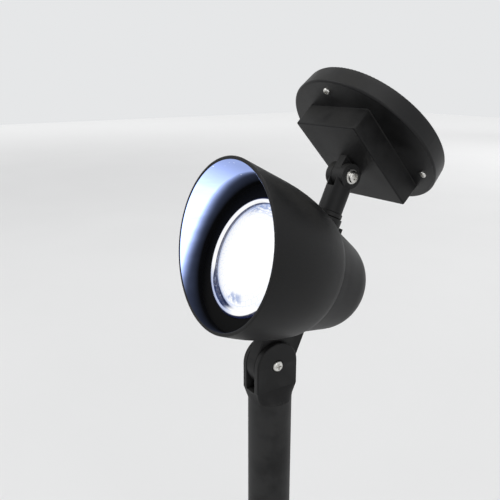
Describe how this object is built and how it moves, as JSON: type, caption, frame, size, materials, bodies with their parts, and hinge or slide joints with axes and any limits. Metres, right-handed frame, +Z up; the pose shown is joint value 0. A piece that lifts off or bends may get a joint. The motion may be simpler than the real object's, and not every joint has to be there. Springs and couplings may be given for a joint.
{
  "type": "light projector stake",
  "caption": "Solar garden spotlight on a ground stake: a hooded tilting lamp head with a swivelling, tilting round solar panel on an arm behind it.",
  "frame": {"origin": "on the axis of the stake at the ground line, where the flange above the spike rests on the soil", "axes": "+Z up along the stake; the lamp shines towards -Y, raised 25 degrees; the tilt axes lie along X with the screw heads on +X"},
  "size_m": [0.1086, 0.1654, 0.4758],
  "materials": {
    "black_plastic": "fine moulded texture, satin",
    "tray_plastic": "smooth moulded satin",
    "lens_clear": "clear moulded polycarbonate",
    "mirror_coat": "vacuum metallised",
    "screw_steel": "zinc plated",
    "seal_rubber": "soft black",
    "board_white": "white solder mask",
    "board_green": "green solder mask",
    "led_yellow": "phosphor dome",
    "spreader_aluminium": "turned",
    "cell_silicon": "dark blue silicon",
    "cover_clear": "clear glass",
    "battery_wrap": "plain green shrink wrap",
    "contact_steel": "nickel plated",
    "component_black": "moulded epoxy",
    "knob_plastic": "satin",
    "sensor_resin": "tinted epoxy dome",
    "retainer_nylon": "natural nylon"
  },
  "bodies": {
    "stake": {"ground_spike": "black_plastic", "riser_tube": "black_plastic", "stake_head": "black_plastic", "tilt_bolt": "screw_steel", "tilt_nut": "screw_steel"},
    "lamp_head": {"hood": "black_plastic", "lens": "lens_clear", "lens_gasket": "seal_rubber", "reflector": "mirror_coat", "reflector_screws": "screw_steel", "led_board": "board_white", "led": "led_yellow", "heat_spreader": "spreader_aluminium", "board_screws": "screw_steel", "rear_housing": "black_plastic", "housing_seal": "seal_rubber", "arm_seal": "seal_rubber"},
    "panel_arm_body": {"panel_arm": "black_plastic", "arm_retainer": "retainer_nylon", "panel_washer": "screw_steel", "panel_bolt": "screw_steel", "panel_nut": "screw_steel"},
    "solar_panel": {"battery_box": "black_plastic", "box_gasket": "seal_rubber", "batteries": "battery_wrap", "battery_contacts": "contact_steel", "battery_springs": "contact_steel", "control_board": "board_green", "board_components": "component_black", "box_screws": "screw_steel", "panel_tray": "tray_plastic", "face_plate": "black_plastic", "tray_screws": "screw_steel", "solar_board": "board_green", "solar_cells": "cell_silicon", "solar_cover": "cover_clear", "light_sensor": "sensor_resin", "switch_body": "component_black"},
    "switch": {"switch_knob": "knob_plastic"}
  },
  "joints": [
    {"name": "head_tilt", "type": "hinge", "parent": "stake", "child": "lamp_head", "pos_m": [0, 0, 0.165], "axis": [-1, 0, 0], "range_deg": [-60, 45]},
    {"name": "arm_swivel", "type": "hinge", "parent": "lamp_head", "child": "panel_arm_body", "pos_m": [0, 0.04581, 0.25662], "axis": [0, 0.4226, 0.9063], "range_deg": [-90, 90]},
    {"name": "panel_tilt", "type": "hinge", "parent": "panel_arm_body", "child": "solar_panel", "pos_m": [0, 0.05803, 0.28281], "axis": [1, 0, 0], "range_deg": [-45, 45]},
    {"name": "switch_slide", "type": "slide", "parent": "solar_panel", "child": "switch", "axis": [0, 0.682, -0.7314], "range_m": [0, 0.003]}
  ]
}
